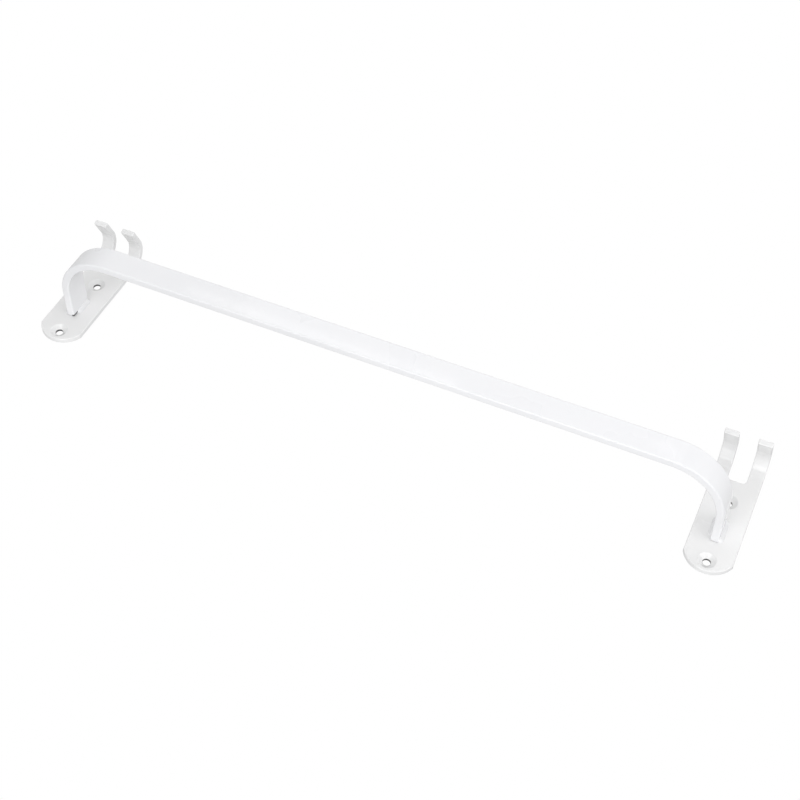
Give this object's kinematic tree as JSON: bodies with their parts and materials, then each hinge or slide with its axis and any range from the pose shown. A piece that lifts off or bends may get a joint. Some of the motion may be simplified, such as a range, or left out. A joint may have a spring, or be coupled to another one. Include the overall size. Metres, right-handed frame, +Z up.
{
  "type": "wall rail",
  "caption": "Wall rail of white flat bar, bent towards the wall at its ends and welded to screw plates whose forked lower ends are curled into hooks, for hanging cloth or towels.",
  "frame": {"origin": "on the wall plane, midway between the two plates and level with the middle of the bar", "axes": "+X along the rail to the viewer's right, +Z up as hung, with the hooks at the bottom, -Y out from the wall towards the viewer"},
  "size_m": [0.534, 0.07, 0.1027],
  "materials": {
    "rail_coat": "glossy white powder coat on flat steel bar",
    "plate_coat": "semi-gloss white powder coat on flat steel plate",
    "weld_coat": "semi-gloss white powder coat over a smooth fillet weld"
  },
  "bodies": {
    "root": {"rail": "rail_coat", "bracket_left": "plate_coat", "bracket_right": "plate_coat", "weld_left_inner": "weld_coat", "weld_left_outer": "weld_coat", "weld_right_inner": "weld_coat", "weld_right_outer": "weld_coat"}
  },
  "joints": []
}
